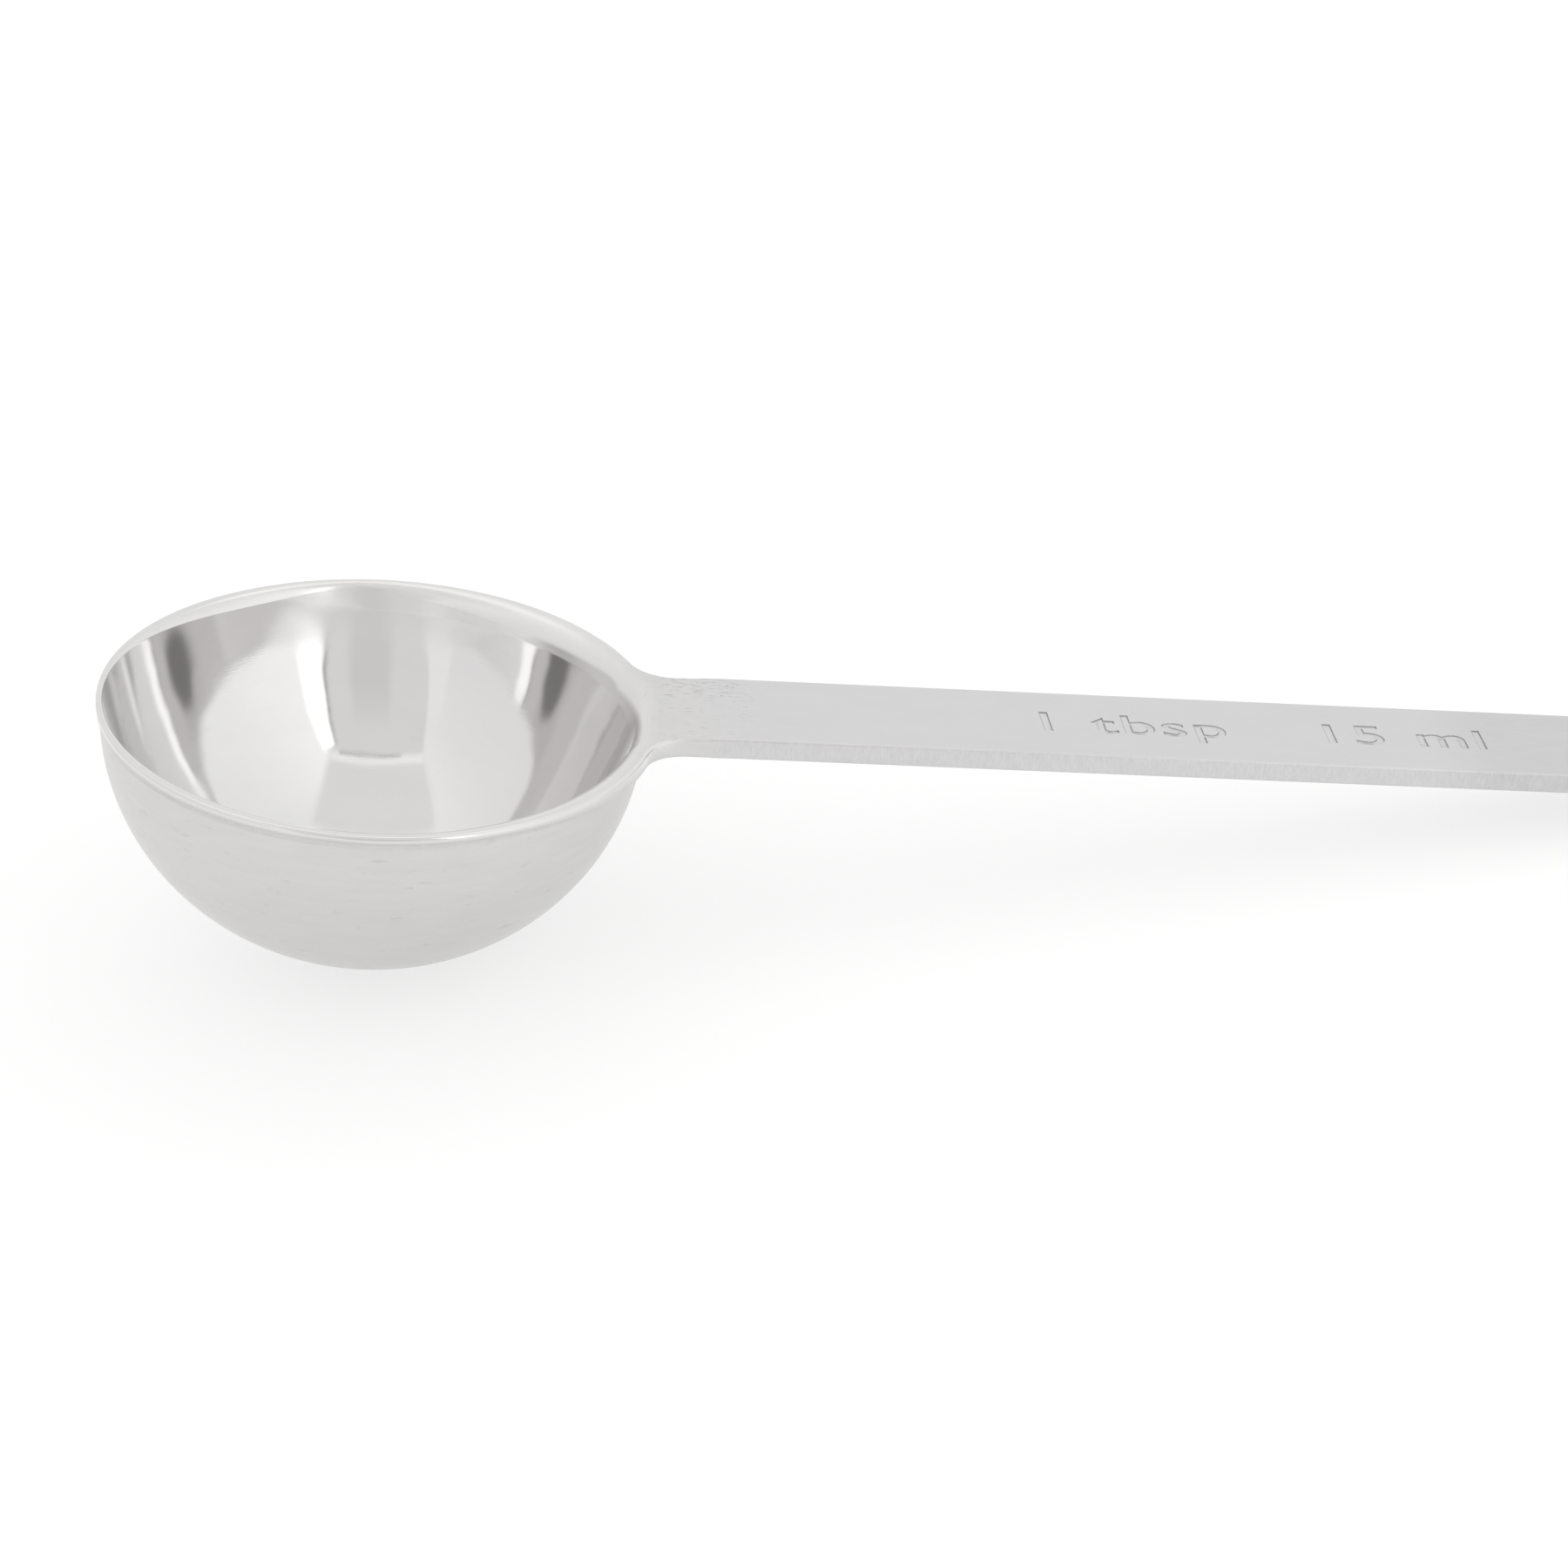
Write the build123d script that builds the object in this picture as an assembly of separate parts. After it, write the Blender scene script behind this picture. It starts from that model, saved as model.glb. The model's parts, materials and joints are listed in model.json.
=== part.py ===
"""One-tablespoon measuring spoon of stainless steel.

A deep round bowl is drawn from heavy sheet. Its mouth flares a little, and a narrow thin flange
is trimmed round it and runs out into a short tab. A flat bar handle with a hanging hole is butt welded to the tab, and
the weld is dressed flush.

Sizes are millimetres. The pieces are drawn with the mouth level in the XY plane, the bowl's axis
on Z and the handle along +X. At the end they are laid down together as the spoon lies on a
table, on the bottom of the bowl and the far edge of the handle, with the origin on the table
under the middle of the spoon.
"""
from build123d import *
from math import asin, cos, degrees, hypot, pi, radians, sin, sqrt, tan
import os

# Bowl inside: a half ball about the middle of the mouth, a straight flare above it that leans out
# from upright, and the bend that turns the flare into the flat of the flange
inside_radius = 19.16
flare_lean = 18.5
mouth_bend = 1.15

# Bowl outside: the sheet left under the middle of the bottom, and the small bend under the flange
bottom_wall = 1.2
under_bend = 0.15

# Flange: the flat of the lip, trimmed by a circle set a little towards the handle, so that the
# lip is narrowest at the far side and widens towards the neck, where it also thickens
lip_width = 0.47
lip_shift_share = 0.45
lip_thickness = 0.7
thickening_start = 8.4

# Neck: the hollow curves that lead from the flange into the bar, the straight of the tab beyond
# them, and the weld
neck_radius = 3.7
tab_land = 1.8
weld_width = 1.5

# Handle: a flat bar that dips a little below the level of the mouth
overall_length = 142.0
handle_width = 10.35
handle_thickness = 1.7
handle_dip = 1.4
end_corner_radius = 3.4
hole_radius = 2.5
hole_to_end = 6.8

# Rounding along the edges of the flange and the bar, and the overrun of every cut
edge_radius = 0.2
cut_overrun = 2.0

# How many times the rest tilt is corrected before it is taken as settled
settling_passes = 20

# Worked out from the sizes above
lean = radians(flare_lean)
flat_radius = inside_radius / cos(lean) + mouth_bend * (1 / cos(lean) - tan(lean))
outside_radius = flat_radius - under_bend
outside_depth = inside_radius + bottom_wall
upright_depth = lip_thickness + under_bend
flange_radius = flat_radius + lip_width
flange_shift = lip_width * lip_shift_share
half_width = handle_width / 2
neck_end = flange_shift + sqrt((flange_radius + neck_radius) ** 2 - (half_width + neck_radius) ** 2)
tab_end = neck_end + tab_land
bar_start = tab_end + weld_width
bar_length = (overall_length + flange_shift - flange_radius - bar_start) / cos(radians(handle_dip))

# Half sections are drawn from the axis towards the far side, so that the seam of each turned face
# lies away from the handle
section_plane = Plane((0, 0, 0), x_dir=(-1, 0, 0), z_dir=(0, 1, 0))


def outer_form():
    """Solid of revolution under the outer skin, with a flange wider than the trimmed one.

    The outer skin is a quarter ellipse, which the middle point's weight makes true, and the bend
    above it. The flange begins over the bend's middle, as its flat does on the inside.
    """
    brim = flange_radius + flange_shift + cut_overrun
    with BuildPart() as form:
        with BuildSketch(section_plane):
            with BuildLine():
                bottom = (0, -outside_depth)
                weights = (1, sqrt(0.5), 1)
                Bezier(bottom, (outside_radius, -outside_depth), (outside_radius, -upright_depth), weights=weights)
                CenterArc((flat_radius, -upright_depth), under_bend, 180, -90)
                Polyline((flat_radius, -lip_thickness), (brim, -lip_thickness), (brim, 0), (0, 0), bottom)
            make_face()
        revolve(axis=Axis.Z)
    return form.part


def cavity_form():
    """Solid of revolution that the inner skin encloses, carried up past the mouth."""
    ball_top = (inside_radius * cos(lean), -inside_radius * sin(lean))
    bend_foot = (flat_radius - mouth_bend * cos(lean), mouth_bend * (sin(lean) - 1))
    above = cut_overrun
    with BuildPart() as form:
        with BuildSketch(section_plane):
            with BuildLine():
                CenterArc((0, 0), inside_radius, -90, 90 - flare_lean)
                Line(ball_top, bend_foot)
                CenterArc((flat_radius, -mouth_bend), mouth_bend, 180 - flare_lean, flare_lean - 90)
                Polyline((flat_radius, 0), (flat_radius, above), (0, above), (0, -inside_radius))
            make_face()
        revolve(axis=Axis.Z)
    return form.part


def thickening():
    """Swelling under the flange that brings its edge smoothly to the bar's thickness."""
    start = (thickening_start, -lip_thickness)
    full = (tab_end, -handle_thickness)
    beyond = tab_end + cut_overrun
    with BuildPart() as form:
        with BuildSketch(Plane.XZ):
            with BuildLine():
                Spline(start, full, tangents=((1, 0), (1, 0)))
                Polyline(full, (beyond, -handle_thickness), (beyond, 0), (thickening_start, 0), start)
            make_face()
        extrude(amount=flange_radius, both=True)
    return form.part


def trimmed_outline():
    """Plan of the bowl's blank: the flange circle, the neck's hollow curves and the tab."""
    with BuildSketch() as plan:
        with Locations((flange_shift, 0)):
            Circle(flange_radius)
        with Locations((tab_end / 2, 0)):
            Rectangle(tab_end, handle_width)
        fillet(plan.vertices().sort_by(Axis.X)[:2], neck_radius)
    return plan.sketch


def runs_level(edge):
    """True for an edge that runs along a plate rather than through its thickness."""
    return abs(edge.tangent_at(0.5).Z) < sin(pi / 4)


def is_trimmed_side(face):
    """True for the plane and round faces that the trimming leaves, without the tab's end."""
    upright = face.geom_type in (GeomType.PLANE, GeomType.CYLINDER) and abs(face.normal_at().Z) < sin(pi / 4)
    return upright and face.center().X < tab_end - tab_land / 4


def make_bowl():
    """The drawn sheet: the trimmed blank with its rounded edges, and the cavity taken out."""
    blank = (outer_form() + thickening()) & extrude(trimmed_outline(), -outside_depth - cut_overrun)
    trimmed_sides = [face for face in blank.faces() if is_trimmed_side(face)]
    long_edges = [edge for face in trimmed_sides for edge in face.edges() if runs_level(edge)]
    return fillet(long_edges, edge_radius) - cavity_form()


def bar_place():
    """Where the bar's own frame stands: at the weld, in the upper face, dipped below level."""
    return Location((bar_start, 0, 0), (0, handle_dip, 0))


def hole_place():
    """Middle of the hanging hole in the bar's own frame."""
    return Location((bar_length - hole_to_end, 0, -handle_thickness / 2))


def bar_outline():
    """Plan of the bar in its own frame: square at the weld, with rounded corners at its end."""
    with BuildSketch() as plan:
        with Locations((bar_length / 2, 0)):
            Rectangle(bar_length, handle_width)
        fillet(plan.vertices().sort_by(Axis.X)[-2:], end_corner_radius)
    return plan.sketch


def make_handle():
    bar = extrude(bar_outline(), -handle_thickness)
    long_edges = [edge for edge in bar.edges() if runs_level(edge) and edge.center().X > edge_radius]
    bar = fillet(long_edges, edge_radius)
    hole = hole_place() * Cylinder(hole_radius, handle_thickness + 2 * cut_overrun)
    return bar_place() * (bar - hole)


def end_section(place):
    """Section of the bar across its length, hung below the place's origin."""
    with BuildSketch(Plane(place * Plane.YZ.location)) as section:
        with Locations((0, -handle_thickness / 2)):
            RectangleRounded(handle_width, handle_thickness, edge_radius)
    return section.sketch


def make_weld():
    """Dressed butt weld: the bar's own section, carried from the tab's end to the bar's."""
    return loft([end_section(Location((tab_end, 0, 0))), end_section(bar_place())])


def lowest_under_bowl(tilt):
    """How far the bowl reaches below the middle of its mouth once it is tilted."""
    swell = hypot(outside_radius * sin(tilt), (outside_depth - upright_depth) * cos(tilt))
    return upright_depth * cos(tilt) + swell


def rest_tilt():
    """Tilt at which the bowl's bottom and the bar's lower end edge stand on one plane.

    The end edge is followed by the middle of its rounding. Each pass brings its foot to the
    height of the bowl's, and a few passes settle the tilt.
    """
    dip = radians(handle_dip)
    along = bar_length - edge_radius
    below = handle_thickness - edge_radius
    foot_x = bar_start + along * cos(dip) - below * sin(dip)
    foot_z = -along * sin(dip) - below * cos(dip)
    tilt = 0
    for settling_pass in range(settling_passes):
        tilt = asin((lowest_under_bowl(tilt) - edge_radius + foot_z * cos(tilt)) / foot_x)
    return tilt


def rest_place(pieces):
    """Place that lays the level spoon on the table, with the origin under its middle."""
    tilt = rest_tilt()
    lying = Location((0, 0, lowest_under_bowl(tilt)), (0, degrees(tilt), 0))
    middle = Compound(children=[lying * piece for piece in pieces]).bounding_box().center().X
    return Location((-middle, 0, 0)) * lying


def level_capacity():
    """Volume under the plane of the mouth, in cubic millimetres."""
    return cavity_form().volume - pi * flat_radius**2 * cut_overrun


def describe(name, place):
    """Print where a feature's middle lies on the resting spoon, and which way it faces."""
    plane = Plane(place)
    print(name, [round(value, 4) for value in plane.origin], [round(value, 6) for value in plane.z_dir])


pieces = {"bowl": make_bowl(), "neck_weld": make_weld(), "handle": make_handle()}
rest = rest_place(pieces.values())
os.makedirs("parts", exist_ok=True)
for name, piece in pieces.items():
    export_step(rest * piece, f"parts/{name}.step")
    print(name, "volume", round(piece.volume, 2), (rest * piece).bounding_box())

print("level capacity", round(level_capacity(), 1))
print("rest tilt in degrees", round(degrees(rest_tilt()), 4))
describe("bowl mouth", rest)
describe("hanging hole", rest * bar_place() * hole_place())
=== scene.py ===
"""Looks of a one-tablespoon measuring spoon of stainless steel.

The bowl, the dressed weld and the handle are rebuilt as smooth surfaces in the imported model's
frame. They are laid out in millimetres with the mouth level, the bowl's axis on Z and the handle
along +X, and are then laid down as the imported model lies. The studio is a white tent that stands
square to the camera.
"""
import json
from math import asin, atan2, cos, exp, hypot, pi, radians, sin, sqrt
import bmesh
import bpy
import numpy as np
from mathutils import Matrix, Vector


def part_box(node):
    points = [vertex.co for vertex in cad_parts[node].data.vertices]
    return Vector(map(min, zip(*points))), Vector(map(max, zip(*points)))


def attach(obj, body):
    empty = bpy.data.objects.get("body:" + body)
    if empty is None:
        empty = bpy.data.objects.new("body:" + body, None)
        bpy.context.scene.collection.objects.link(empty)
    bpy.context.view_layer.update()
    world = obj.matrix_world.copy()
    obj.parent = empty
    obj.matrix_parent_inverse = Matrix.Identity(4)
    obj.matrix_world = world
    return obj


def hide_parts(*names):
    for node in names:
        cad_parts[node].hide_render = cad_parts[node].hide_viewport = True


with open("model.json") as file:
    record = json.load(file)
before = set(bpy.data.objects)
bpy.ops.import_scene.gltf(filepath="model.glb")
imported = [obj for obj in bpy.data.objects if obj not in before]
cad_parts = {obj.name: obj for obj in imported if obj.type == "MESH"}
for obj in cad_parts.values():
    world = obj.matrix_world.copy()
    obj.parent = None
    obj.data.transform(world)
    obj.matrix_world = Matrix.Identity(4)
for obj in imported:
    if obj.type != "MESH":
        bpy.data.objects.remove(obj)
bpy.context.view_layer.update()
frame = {"record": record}

# Where the mouth and the hanging hole are on the resting spoon
MOUNTS = {mount["name"]: mount for mount in frame["record"]["mounts"]}
MOUTH = MOUNTS["bowl_mouth"]
HOLE = MOUNTS["hanging_hole"]
REST_TILT = atan2(MOUTH["axis"][0], MOUTH["axis"][2])
MM = 0.001
LYING = Matrix.Translation(MOUTH["pos_m"]) @ Matrix.Rotation(REST_TILT, 4, "Y")
LAID_DOWN = LYING @ Matrix.Scale(MM, 4)

# Inside of the bowl, in millimetres: half a ball that widens towards the mouth. It widens most at
# the ends and the sides and least on the diagonals, which are turned towards the sides at the far
# end. The sharpness is a power: the greater, the narrower an end or the diagonals are.
BALL_RADIUS = 18.7
WIDENING = 1.8
NECK_WIDENING = 0.5
FAR_WIDENING = 0.15
END_SHARPNESS = 4
DIAGONAL_WIDENING = -0.7
DIAGONAL_TURN = 0.5
DIAGONAL_SHARPNESS = 1.5
# Depth over which the widening fades, and the same at the far end
WIDENING_FADE = 5.5
FAR_FADE = 7.5
# The wall's inside and outside stand a little off the lip's circle, as a pressed bowl's do
INNER_SHIFT = -0.36
INNER_SHIFT_BACK = 0.15
OUTER_SHIFT = -0.12

# Lip: its flat begins where the bend from the wall ends, and up to the neck's flare further out
# towards the handle. Some of it is left everywhere.
FLAT_START = MOUTH["dims"]["r_mm"]
NECK_FLARE = 0.9
LEAST_FLAT = 0.03
LIP_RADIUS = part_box("bowl")[1].y / MM
LIP_SHIFT = 0.2115
LIP_THICKNESS = 0.7
THICKENING_START = 8.4
# The lip's worn edge, and the share of the flat's width that it takes at most
LIP_EDGE_RADIUS = 0.3
LIP_EDGE_SHARE = 0.76
# How polished the lip and its worn edge are, from none to the inside's full polish, and where
# along the handle they turn dull
LIP_POLISH = 0.6
LIP_DULL_START = 17.0
EDGE_POLISH = 0.9
EDGE_DULL_START = 21.0
DULL_END = 23.0

# Outside of the bowl: half an ellipsoid whose middle lies just under the lip
UNDER_BEND = 0.15
OUTSIDE_RADIUS = FLAT_START - UNDER_BEND
OUTSIDE_DEPTH = 20.36
UPRIGHT_DEPTH = LIP_THICKNESS + UNDER_BEND
ELLIPSOID_DEPTH = OUTSIDE_DEPTH - UPRIGHT_DEPTH
# The corner under the lip is softened more where the lip swells into the neck, and fills no more
# than a share of the room under a narrow lip
UNDER_RADIUS = 0.22
UNDER_RADIUS_AT_NECK = 0.5
UNDER_SHARE = 0.9
# The fine marks round the corner are counted from this length
CORNER_ALONG = 20

# Neck, weld and bar
HALF_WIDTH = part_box("handle")[1].y / MM
THICKNESS = HOLE["dims"]["length_mm"]
NECK_RADIUS = 3.7
TAB_LAND = 1.8
WELD_WIDTH = 1.5
DIP = radians(1.4)
EDGE_RADIUS = 0.2
END_CORNER_RADIUS = 3.4
HOLE_RADIUS = HOLE["dims"]["r_mm"]
HOLE_TO_END = 6.8
NECK_HEIGHT = HALF_WIDTH + NECK_RADIUS
NECK_END = LIP_SHIFT + sqrt((LIP_RADIUS + NECK_RADIUS) ** 2 - NECK_HEIGHT ** 2)
TAB_END = NECK_END + TAB_LAND
BAR_START = TAB_END + WELD_WIDTH
BAR = Matrix.Translation((BAR_START, 0, 0)) @ Matrix.Rotation(DIP, 4, "Y")
HOLE_X = (BAR.inverted() @ (LAID_DOWN.inverted() @ Vector(HOLE["pos_m"]))).x
BAR_LENGTH = HOLE_X + HOLE_TO_END
# The hole's two rims are eased by this much, and its cutter stands out of the bar
HOLE_EASE = 0.12
CUT_OVERRUN = 1.0

# Capacity marks and their places along the bar, sunk into its top with sloping walls
MARKS = (("1 tbsp", 23.9), ("15 ml", 46.9))
MARK_SIZE = 4.5
MARK_WIDENING = 1.3
MARK_SPACING = 1.1
MARK_THINNING = -0.06
MARK_DEPTH = 0.11
MARK_BEVEL_STEPS = 1
MARK_RISE = 0.01
MARK_WELD = 0.001

# How finely the surfaces are divided
TAB_STEPS = 4
FILLET_STEPS = 16
CIRCLE_STEPS = 100
END_STEPS = 12
BALL_STEPS = 90
BEND_STEPS = 12
WALL_STEPS = 80
EDGE_STEPS = 5
UNDERSIDE_STEPS = 8
WELD_STEPS = 4
HOLE_STEPS = 72
# The least turn at which the wall may pass into the bend, how often the search for that turn
# halves its span, and the length or angle over which a slope is measured
LEAST_SEAM = 1.2
SEAM_HALVINGS = 40
SLOPE_STEP = 0.01
# Facets that meet at more than this stay sharp, and large ones lead the shading of the bar
SHARP_ANGLE = radians(35)
LARGE_FACE_WEIGHT = 100

# The photograph's camera, found from the lip, the bowl's outline and the bar's edges
SPOON_YAW = radians(6.508)
SPOON_PITCH = radians(4.795)
CAMERA_DIP = radians(28.93)
MOUTH_IN_VIEW = Vector((-31.306, -6.364, 334.354))
LENS_MM = 100
SENSOR_MM = 36
CLIP_START = 0.01
# The studio is level and square to the camera, with its origin at the middle of the mouth
SPOON_TURN = Matrix.Rotation(SPOON_YAW, 4, "Z") @ Matrix.Rotation(SPOON_PITCH, 4, "Y")
STUDIO = LYING @ SPOON_TURN.inverted()
TENT_HEIGHT = 0.6


def smooth_step(share):
    share = min(max(share, 0.0), 1.0)
    return share * share * (3 - 2 * share)


def sheet_at(x):
    """Thickness of the lip's edge and underside, which swells towards the handle."""
    swelling = smooth_step((x - THICKENING_START) / (TAB_END - THICKENING_START))
    return LIP_THICKNESS + (THICKNESS - LIP_THICKNESS) * swelling


def polish_until(x, most, start):
    return most * (1 - smooth_step((x - start) / (DULL_END - start)))


def lip_polish(x):
    return polish_until(x, LIP_POLISH, LIP_DULL_START)


def edge_polish(x):
    return polish_until(x, EDGE_POLISH, EDGE_DULL_START)


def half_outline():
    """Trimmed edge in plan, from the tab's corner to the far side: points and outward normals."""
    tangent = atan2(NECK_HEIGHT, NECK_END - LIP_SHIFT)
    rows = [(x, HALF_WIDTH, 0.0, 1.0) for x in np.linspace(TAB_END, NECK_END, TAB_STEPS + 1)]
    for angle in np.linspace(-pi / 2, tangent - pi, FILLET_STEPS + 1)[1:]:
        c, sn = cos(angle), sin(angle)
        rows.append((NECK_END + NECK_RADIUS * c, NECK_HEIGHT + NECK_RADIUS * sn, -c, -sn))
    for angle in np.linspace(tangent, pi, CIRCLE_STEPS + 1)[1:]:
        c, sn = cos(angle), sin(angle)
        rows.append((LIP_SHIFT + LIP_RADIUS * c, LIP_RADIUS * sn, c, sn))
    return rows


def bowl_columns():
    """Plan points of the flat's outer boundary, and how many of them lie on the trimmed edge.

    Each column is (x, y, normal x, normal y, edge radius). The trimmed edge comes first, and then
    the end of the tab, which has no edge radius.
    """
    half = half_outline()
    whole = half + [(x, -y, nx, -ny) for x, y, nx, ny in reversed(half[:-1])]
    columns = []
    for x, y, nx, ny in whole:
        land = hypot(x, y) - FLAT_START
        edge = min(LIP_EDGE_RADIUS, land * LIP_EDGE_SHARE)
        columns.append((x - nx * edge, y - ny * edge, nx, ny, edge))
    inner = HALF_WIDTH - EDGE_RADIUS
    for y in np.linspace(-inner, inner, END_STEPS + 1)[1:-1]:
        columns.append((TAB_END, y, 1.0, 0.0, 0.0))
    return columns, len(whole)


def flat_start_at(angle, x, y):
    """Where the flat begins, from the wall's own axis, short of the flat's outer boundary."""
    start = FLAT_START + NECK_FLARE * max(cos(angle), 0.0)
    ahead = INNER_SHIFT * cos(angle) + INNER_SHIFT_BACK * sin(angle)
    aside = INNER_SHIFT * sin(angle) - INNER_SHIFT_BACK * cos(angle)
    reach = sqrt(start ** 2 - aside ** 2) - ahead
    return min(reach, hypot(x - INNER_SHIFT, y - INNER_SHIFT_BACK) - LEAST_FLAT)


def widening(depth, angle):
    """How far the inner wall stands outside the ball, and how fast that grows with the height."""
    neck_side, far_side = max(cos(angle), 0.0), max(-cos(angle), 0.0)
    neck, far = neck_side ** END_SHARPNESS, far_side ** END_SHARPNESS
    turned = angle + DIAGONAL_TURN * sin(angle) * far_side
    diagonal = abs(sin(2 * turned)) ** DIAGONAL_SHARPNESS
    most = WIDENING + NECK_WIDENING * neck + FAR_WIDENING * far + DIAGONAL_WIDENING * diagonal
    length = WIDENING_FADE + (FAR_FADE - WIDENING_FADE) * far
    fade, last = exp(-depth / length), exp(-BALL_RADIUS / length)
    return most * (fade - last), most * fade / length


def wall_inside(turn, angle):
    """Radius, depth, lean from upright and sideways swing of the inner wall.

    The turn goes up from the bottom and the angle round the axis.
    """
    depth = BALL_RADIUS * cos(turn)
    level = BALL_RADIUS * sin(turn)
    wider, growth = widening(depth, angle)
    radius = level + wider
    lean = atan2(depth + growth * level, level)
    gain = widening(depth, angle + SLOPE_STEP)[0] - widening(depth, angle - SLOPE_STEP)[0]
    return radius, depth, lean, gain / (2 * SLOPE_STEP) / radius


def bend_between(start, angle):
    """Turn at which the wall passes into the bend, and the bend's radius, for a flat's start."""
    low, high = LEAST_SEAM, pi / 2
    for halving in range(SEAM_HALVINGS):
        turn = (low + high) / 2
        radius, depth, lean, swing = wall_inside(turn, angle)
        bend = depth / (1 - sin(lean))
        if radius + bend * cos(lean) > start:
            low = turn
        else:
            high = turn
    return turn, bend


class Surface:
    """Collects the points, normals and facets of one closed piece."""

    def __init__(self):
        self.points, self.normals, self.along, self.inside, self.faces = [], [], [], [], []

    def add(self, point, normal, along=0.0, inside=0.0):
        self.points.append(point)
        self.normals.append(normal)
        self.along.append(along)
        self.inside.append(inside)
        return len(self.points) - 1

    def skin(self, rows, closed):
        """Facets between neighbouring rows of points."""
        for first, second in zip(rows, rows[1:]):
            count = len(first)
            for i in range(count if closed else count - 1):
                k = (i + 1) % count
                self.faces.append((first[i], first[k], second[k], second[i]))

    def fan(self, tip, row):
        for i in range(len(row)):
            self.faces.append((tip, row[i], row[(i + 1) % len(row)]))

    def cap(self, *rows):
        """One facet round the points of the rows."""
        self.faces.append(tuple(point for row in rows for point in row))


def unit(*vector):
    return tuple(np.array(vector) / np.linalg.norm(vector))


def inside_at(k, angle, start, seam, bend):
    """Radius, height, lean, sideways swing, length from the bottom and polish of an inside row."""
    turn = seam * min(k / BALL_STEPS, 1.0)
    radius, depth, lean, swing = wall_inside(turn, angle)
    if k <= BALL_STEPS:
        return radius, -depth, lean, swing, BALL_RADIUS * turn, 1.0
    share = (k - BALL_STEPS) / BEND_STEPS
    tilted = lean + (pi / 2 - lean) * share
    along = BALL_RADIUS * turn + bend * (tilted - lean)
    polish = 1 - share * (1 - lip_polish(start * cos(angle)))
    height = bend * (sin(tilted) - 1)
    return start - bend * cos(tilted), height, tilted, swing * (1 - share), along, polish


def add_inside(s, columns):
    """Skin from the bottom of the inside over the bend to the flat's outer boundary, its last row."""
    angles = [atan2(y - INNER_SHIFT_BACK, x - INNER_SHIFT) for x, y, *rest in columns]
    starts = [flat_start_at(angle, x, y) for (x, y, *rest), angle in zip(columns, angles)]
    bends = [bend_between(start, angle) for start, angle in zip(starts, angles)]
    bottom = s.add((INNER_SHIFT, INNER_SHIFT_BACK, -BALL_RADIUS), (0, 0, 1), 0.0, 1.0)
    rows = []
    for k in range(1, BALL_STEPS + BEND_STEPS + 1):
        row = []
        for angle, start, (seam, bend) in zip(angles, starts, bends):
            r, z, lean, swing, along, polish = inside_at(k, angle, start, seam, bend)
            c, sn = cos(angle), sin(angle)
            point = (INNER_SHIFT + r * c, INNER_SHIFT_BACK + r * sn, z)
            normal = unit((-c - swing * sn) * cos(lean), (-sn + swing * c) * cos(lean), sin(lean))
            row.append(s.add(point, normal, along, polish))
        rows.append(row)
    s.fan(bottom, rows[0])
    length = BALL_RADIUS * pi / 2
    rows.append([s.add((x, y, 0.0), (0, 0, 1), length + hypot(x, y) - FLAT_START, lip_polish(x))
                 for x, y, *rest in columns])
    s.skin(rows, True)
    return rows[-1]


def corner_under_lip(x, y, angle):
    """Softened corner of a column: its radius and height, and the wall's radius and turn below."""
    swollen = smooth_step((x - THICKENING_START) / (NECK_END - THICKENING_START))
    radius = UNDER_RADIUS + (UNDER_RADIUS_AT_NECK - UNDER_RADIUS) * swollen
    radius = min(radius, UNDER_SHARE * (hypot(x - OUTER_SHIFT, y) - OUTSIDE_RADIUS))
    height = -sheet_at(OUTER_SHIFT + (OUTSIDE_RADIUS + radius) * cos(angle))
    sunk = max((radius - height - UPRIGHT_DEPTH) / ELLIPSOID_DEPTH, 0.0)
    return radius, height, OUTSIDE_RADIUS * sqrt(1 - sunk ** 2), asin(sunk)


def outside_point(r, angle, z):
    return OUTER_SHIFT + r * cos(angle), r * sin(angle), z


def underside_row(s, columns, angles, corners, share):
    """Row of the lip's underside, at a share of the way from its boundary to the corner."""
    row = []
    for (x, y, *rest), angle, (radius, height, wall_radius, turn) in zip(columns, angles, corners):
        corner_x, corner_y = outside_point(wall_radius + radius, angle, height)[:2]
        px = x + (corner_x - x) * share
        py = y + (corner_y - y) * share
        slope = (sheet_at(px + SLOPE_STEP) - sheet_at(px - SLOPE_STEP)) / (2 * SLOPE_STEP)
        row.append(s.add((px, py, -sheet_at(px)), unit(-slope, 0, -1), hypot(px, py)))
    return row


def corner_row(s, angles, corners, a):
    """Row of the softened corner, at an angle from its level start to its upright end."""
    row = []
    for angle, (radius, height, wall_radius, turn) in zip(angles, corners):
        r = wall_radius + radius * (1 - sin(a))
        z = height - radius * (1 - cos(a))
        normal = unit(sin(a) * cos(angle), sin(a) * sin(angle), -cos(a))
        row.append(s.add(outside_point(r, angle, z), normal, CORNER_ALONG + z))
    return row


def wall_row(s, angles, corners, share):
    """Row of the outer wall, at a share of the way from the corner to the bottom."""
    row = []
    for angle, (radius, height, wall_radius, turn) in zip(angles, corners):
        w = turn + (pi / 2 - turn) * share
        r, z = OUTSIDE_RADIUS * cos(w), -UPRIGHT_DEPTH - ELLIPSOID_DEPTH * sin(w)
        level, upright = cos(w) / OUTSIDE_RADIUS, -sin(w) / ELLIPSOID_DEPTH
        normal = unit(level * cos(angle), level * sin(angle), upright)
        row.append(s.add(outside_point(r, angle, z), normal, w * OUTSIDE_RADIUS))
    return row


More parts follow.
